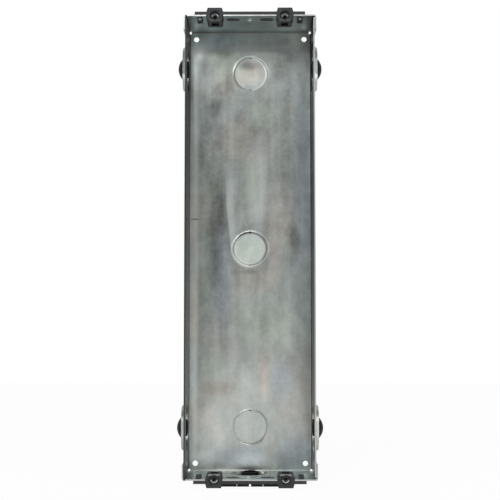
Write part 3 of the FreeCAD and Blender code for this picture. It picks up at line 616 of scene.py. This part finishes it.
def with_block_shade_and_highlight(tree, axes, colour):
    """Painted shade in the room behind each nut, and a painted highlight on the lip in front of it, which
    is paler on the bottom bar.
    """
    across = absolute(tree, combine(tree, "SUBTRACT", absolute(tree, axes["X"]), SCREW_X * MM))
    height = absolute(tree, axes["Z"])
    window = product(tree, fall(tree, across, WINDOW_HALF, WINDOW_HALF + 0.1),
                     ramp(tree, height, WINDOW_LOW, WINDOW_LOW + 0.05),
                     fall(tree, height, WINDOW_HIGH, WINDOW_HIGH + 0.1),
                     ramp(tree, axes["Y"], WINDOW_FRONT, WINDOW_FRONT + 0.1))
    colour = blend_colours(tree, window, colour, WINDOW_SHADE)
    lip = product(tree, fall(tree, across, LIP_HALF, LIP_HALF + 1.0),
                  fall(tree, height, LIP_HIGH, LIP_HIGH + 0.8),
                  fall(tree, axes["Y"], LIP_REAR, LIP_REAR + 1.0))
    at_top = combine(tree, "GREATER_THAN", axes["Z"], 0)
    return blend_colours(tree, lip, colour, blend_colours(tree, at_top, BOTTOM_LIP_HIGHLIGHT, TOP_LIP_HIGHLIGHT))


def bright_zinc():
    """Bright zinc plate, lightly brushed, a little dull in patches, with painted shade on the inner half of
    each nut and a painted highlight on the top rivet.
    """
    material, tree, shader = new_material("bright_zinc")
    place = place_of(tree)
    axes = axes_of(tree, place)
    drawn_out = stretched(tree, place, (400, 2500, 2500))
    brushed = clouds(tree, drawn_out, scale=1, detail=3, roughness=0.6)
    patchy = clouds(tree, place, scale=350, detail=3, roughness=0.6)
    colour = blend_colours(tree, rescaled(tree, patchy, 0.35, 0.65, 0, 1), DULL_ZINC, CLEAR_ZINC)
    across, height = absolute(tree, axes["X"]), absolute(tree, axes["Z"])
    # Painted shade on the inner half of each nut, stronger towards its front
    nut_shade = product(tree, fall(tree, height, SCREW_Z - 0.1, SCREW_Z + 1.3, smooth=True),
                      ramp(tree, axes["Y"], NUT_FRONT + 0.3, NUT_FRONT + 0.9, 1, 0.4),
                      ramp(tree, across, NUT_REACH, NUT_REACH + 1, 0, NUT_SHADE_STRENGTH))
    colour = blend_colours(tree, nut_shade, colour, NUT_SHADE)
    # Painted highlight on the top rivet
    on_top_rivet = combine(tree, "MULTIPLY", fall(tree, across, RIVET_REACH, RIVET_REACH + 1),
                           combine(tree, "GREATER_THAN", axes["Z"], 0))
    colour = blend_colours(tree, on_top_rivet, colour, RIVET_HIGHLIGHT)
    tree.links.new(colour, shader.inputs["Base Color"])
    shader.inputs["Metallic"].default_value = 1.0
    tree.links.new(rescaled(tree, brushed, 0.3, 0.7, 0.29, 0.42), shader.inputs["Roughness"])
    tree.links.new(bumped(tree, brushed, distance=0.02, strength=0.5), shader.inputs["Normal"])
    return material


def plug_rubber():
    """Black soft plastic, smooth, with faint flow marks."""
    material, tree, shader = new_material("plug_rubber")
    place = place_of(tree)
    flow = clouds(tree, place, scale=160, detail=3, roughness=0.5)
    grain = clouds(tree, place, scale=1200, detail=2, roughness=0.55)
    tree.links.new(blend_colours(tree, flow, DARK_RUBBER, PALE_RUBBER), shader.inputs["Base Color"])
    shader.inputs["Specular IOR Level"].default_value = 0.08
    tree.links.new(rescaled(tree, flow, 0.3, 0.7, 0.42, 0.56), shader.inputs["Roughness"])
    tree.links.new(bumped(tree, grain, distance=0.02, strength=0.5), shader.inputs["Normal"])
    return material


# Floor and backdrop

def seen_white(tree):
    """1 for rays that show the surroundings: to the camera, mirrored or through clear matter."""
    path = add_node(tree, "ShaderNodeLightPath").outputs
    seen = combine(tree, "MAXIMUM", path["Is Camera Ray"], path["Is Glossy Ray"])
    return combine(tree, "MAXIMUM", seen, path["Is Transmission Ray"])


def stage_paint(name, grey, share):
    """Dull grey paint that shows as white, by the given share, to the rays that seen_white names."""
    material, tree, shader = new_material(name)
    shader.inputs["Base Color"].default_value = (grey, grey, grey, 1)
    shader.inputs["Roughness"].default_value = 1.0
    glow = add_node(tree, "ShaderNodeEmission", {"Color": (1, 1, 1, 1), "Strength": 1.0})
    mixed = add_node(tree, "ShaderNodeMixShader", {
        "Fac": combine(tree, "MULTIPLY", seen_white(tree), share)})
    tree.links.new(shader.outputs[0], mixed.inputs[1])
    tree.links.new(glow.outputs[0], mixed.inputs[2])
    tree.links.new(mixed.outputs[0], tree.nodes["Material Output"].inputs["Surface"])
    return material


def white_backdrop():
    return stage_paint("white_backdrop", 0.85, 1.0)


def pale_floor():
    """A little of the paint shows through, so that the floor keeps the object's shadow."""
    return stage_paint("pale_floor", 0.92, 0.95)


# Finishes on the construction's nodes

def finish_node(name, material):
    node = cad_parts[name]
    if not node.data.materials:
        node.data.materials.append(material)
    for place in node.material_slots:
        place.material = material


# Plugs, turned from a profile

PLUG_STEPS = 72  # sides of each round
SWEEP_RADIUS = 10 * MM  # of the path that carries the profile; it doesn't change the piece
POLE_GAP = 0.001 * MM  # points nearer than this are joined, as they are where the piece meets its axis
PLUG_SMOOTH, NUT_SMOOTH = 30, 35  # degrees up to which an edge is shaded smooth
# Radii of the plug in mm: hollow, foot, snap edge, neck and cap, with the rounding of the cap's edge
HOLLOW, FOOT, SNAP, NECK, CAP, CAP_ROUND = 5.7, 7.6, 8.36, 7.2, 9.5, 0.3
# Heights of the plug in mm, from the cap's seat: foot, top of the snap edge, start and rise of the dome
FOOT_LEVEL, SNAP_LEVEL, DOME_LEVEL, DOME_RISE = -5.0, -1.35, 0.6, 4.0
DOME_END = 86.5  # degrees up the dome's sphere where its last, flat ring starts


def turning_tree():
    """Geometry nodes that sweep a profile round the Z axis, then turn, seat and finish the piece."""
    tree = bpy.data.node_groups.new("turned_piece", "GeometryNodeTree")
    for name, kind in (("Profile", "NodeSocketGeometry"), ("Steps", "NodeSocketInt"),
                       ("Sweep Radius", "NodeSocketFloat"), ("Seat", "NodeSocketVector"),
                       ("Turn", "NodeSocketVector"), ("Finish", "NodeSocketMaterial")):
        tree.interface.new_socket(name, in_out="INPUT", socket_type=kind)
    tree.interface.new_socket("Piece", in_out="OUTPUT", socket_type="NodeSocketGeometry")
    given = tree.nodes.new("NodeGroupInput").outputs
    path = add_node(tree, "GeometryNodeCurvePrimitiveCircle", {
        "Resolution": given["Steps"], "Radius": given["Sweep Radius"]})
    line = add_node(tree, "GeometryNodeMeshToCurve", {"Mesh": given["Profile"]})
    swept = add_node(tree, "GeometryNodeCurveToMesh", {
        "Curve": path.outputs["Curve"], "Profile Curve": line.outputs["Curve"]})
    closed = add_node(tree, "GeometryNodeMergeByDistance", {
        "Geometry": swept.outputs["Mesh"], "Distance": POLE_GAP})
    seated = add_node(tree, "GeometryNodeTransform", {
        "Geometry": closed.outputs["Geometry"], "Translation": given["Seat"],
        "Rotation": given["Turn"]})
    real = add_node(tree, "GeometryNodeRealizeInstances", {"Geometry": seated.outputs["Geometry"]})
    done = add_node(tree, "GeometryNodeSetMaterial", {
        "Geometry": real.outputs["Geometry"], "Material": given["Finish"]})
    tree.links.new(done.outputs["Geometry"], tree.nodes.new("NodeGroupOutput").inputs["Piece"])
    return tree


def turned_piece(name, tree, profile, seat, turn, material):
    """A closed solid of revolution from (radius, height) points that start and end on the axis."""
    line = bpy.data.meshes.new(name)
    line.from_pydata([(radius - SWEEP_RADIUS, -height, 0) for radius, height in profile],
                     [(at, at + 1) for at in range(len(profile) - 1)], [])
    piece = make_mesh_object(name, line)
    maker = piece.modifiers.new("turning", "NODES")
    maker.node_group = tree
    sizes = {"Steps": PLUG_STEPS, "Sweep Radius": SWEEP_RADIUS, "Seat": seat, "Turn": turn,
             "Finish": material}
    for socket in tree.interface.items_tree:
        if socket.name in sizes:
            maker[socket.identifier] = sizes[socket.name]
    seen = piece.evaluated_get(bpy.context.evaluated_depsgraph_get())
    mesh = bpy.data.meshes.new_from_object(seen)
    piece.modifiers.remove(maker)
    piece.data = mesh
    smooth_by_angle(mesh, PLUG_SMOOTH)
    return piece


def smooth_by_angle(mesh, degrees):
    limit = math.radians(degrees)
    work = bmesh.new()
    work.from_mesh(mesh)
    bmesh.ops.recalc_face_normals(work, faces=work.faces)
    for edge in work.edges:
        edge.smooth = edge.is_manifold and edge.calc_face_angle(0) < limit
    for face in work.faces:
        face.smooth = True
    work.to_mesh(mesh)
    work.free()


def arc(centre, radius, start, stop, steps):
    """Points along an arc, from one angle to another in degrees."""
    angles = [math.radians(start + (stop - start) * step / steps) for step in range(steps + 1)]
    return [(centre[0] + radius * math.cos(angle), centre[1] + radius * math.sin(angle))
            for angle in angles]


def plug_profile():
    """A hollow domed plug: hollow, bevelled foot, snap edge, neck, cap with a soft edge and dome."""
    sphere = (CAP * CAP + DOME_RISE * DOME_RISE) / (2 * DOME_RISE)
    centre = DOME_LEVEL + DOME_RISE - sphere
    dome_start = math.degrees(math.asin((DOME_LEVEL - centre) / sphere))
    points = [(0, DOME_LEVEL), (HOLLOW - 0.5, DOME_LEVEL), (HOLLOW, DOME_LEVEL - 0.5)]
    points += [(HOLLOW, FOOT_LEVEL + 0.2), (HOLLOW + 0.25, FOOT_LEVEL)]
    points += [(FOOT - 0.25, FOOT_LEVEL), (FOOT, FOOT_LEVEL + 0.2)]
    points += [(SNAP, SNAP_LEVEL - 0.2), (SNAP - 0.02, SNAP_LEVEL - 0.05), (SNAP - 0.16, SNAP_LEVEL)]
    points += [(NECK, SNAP_LEVEL), (NECK, 0)]
    points += arc((CAP - CAP_ROUND, CAP_ROUND), CAP_ROUND, -90, 0, 4)
    points += arc((0, centre), sphere, dome_start, DOME_END, 14)
    points.append((0, DOME_LEVEL + DOME_RISE))
    return [(radius * MM, height * MM) for radius, height in points]


def make_plugs(material):
    tree, profile = turning_tree(), plug_profile()
    places = []
    for level in ("upper", "lower"):
        for hand, sign_x in (("left", -1), ("right", 1)):
            node = "%s_%s_plug" % (level, hand)
            middle = middle_of(node)
            seat = (steel_high.x * sign_x, middle.y, middle.z)
            places.append((node, seat, (0, math.pi / 2 * sign_x, 0)))
    node = "bottom_entry_plug"
    places.append((node, (0, middle_of(node).y, steel_low.z), (math.pi, 0, 0)))
    for node, seat, turn in places:
        piece = turned_piece(node + "_moulding", tree, profile, seat, turn, material)
        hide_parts(node)
        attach(piece, "root")


# Square nuts with a cut thread, in millimetres

NUT_WIDTH, NUT_THICK = 7.0, 2.2
NUT_STEPS, THREAD_ROWS = 48, 44
TAPPED_RADIUS, PITCH, THREAD_DEPTH = 1.65, 0.7, 0.33
FRONT_SINK, REAR_SINK = 0.9, 0.25  # depth of the countersinks
FRONT_BEVEL, REAR_BEVEL = 0.3, 0.15
CORNER_REACH = 1.36  # where the corners are cut, times half the width; a sharp one reaches 1.41


def nut_outline(work, half, height):
    """A ring of points round the square, at one height over the rear face."""
    ring = []
    for step in range(NUT_STEPS):
        angle = math.tau * (step + 0.5) / NUT_STEPS
        reach = half / max(abs(math.cos(angle)), abs(math.sin(angle)))
        reach = min(reach, half * CORNER_REACH)
        ring.append(work.verts.new((reach * math.cos(angle), reach * math.sin(angle), height)))
    return ring


def nut_bore(work, height):
    """A ring of points in the thread, which runs out into the countersinks."""
    ring = []
    for step in range(NUT_STEPS):
        angle = math.tau * (step + 0.5) / NUT_STEPS
        phase = (height / PITCH - step / NUT_STEPS) % 1
        depth = 1 - abs(phase * 2 - 1)
        flare = max(0.0, height - (NUT_THICK - FRONT_SINK), REAR_SINK - height)
        radius = TAPPED_RADIUS + max(THREAD_DEPTH * depth, flare)
        ring.append(work.verts.new((radius * math.cos(angle), radius * math.sin(angle), height)))
    return ring


def threaded_nut_mesh(name, matrix):
    """A square M4 nut as one closed solid: bevelled outline, countersinks and helical thread."""
    work = bmesh.new()
    half = NUT_WIDTH / 2
    rings = [nut_outline(work, half - REAR_BEVEL, 0), nut_outline(work, half, REAR_BEVEL),
             nut_outline(work, half, NUT_THICK - FRONT_BEVEL),
             nut_outline(work, half - FRONT_BEVEL, NUT_THICK)]
    rings += [nut_bore(work, NUT_THICK * (1 - row / THREAD_ROWS)) for row in range(THREAD_ROWS + 1)]
    rings.append(rings[0])
    for lower, upper in zip(rings, rings[1:]):
        for step in range(NUT_STEPS):
            following = (step + 1) % NUT_STEPS
            work.faces.new((lower[step], lower[following], upper[following], upper[step]))
    bmesh.ops.recalc_face_normals(work, faces=work.faces)
    bmesh.ops.scale(work, vec=(MM, MM, MM), verts=work.verts)
    bmesh.ops.transform(work, matrix=matrix, verts=work.verts)
    mesh = bpy.data.meshes.new(name)
    work.to_mesh(mesh)
    work.free()
    return mesh


def make_nuts(material):
    for level in ("top", "bottom"):
        for hand in ("left", "right"):
            node = "%s_%s_nut" % (level, hand)
            rear = middle_of(node)
            rear.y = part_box(node)[1].y
            matrix = Matrix.Translation(rear) @ Matrix.Rotation(math.radians(90), 4, "X")
            mesh = threaded_nut_mesh(node + "_threaded", matrix)
            mesh.materials.append(material)
            smooth_by_angle(mesh, NUT_SMOOTH)
            piece = make_mesh_object(node + "_threaded", mesh)
            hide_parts(node)
            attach(piece, "root")


def main():
    make_camera()
    make_studio()
    finish_node("steel_box", galvanised_steel())
    plastic = clip_plastic()
    finish_node("top_clip_bar", plastic)
    finish_node("bottom_clip_bar", plastic)
    zinc = bright_zinc()
    finish_node("top_bar_rivet", zinc)
    finish_node("bottom_bar_rivet", zinc)
    make_nuts(zinc)
    make_plugs(plug_rubber())


main()
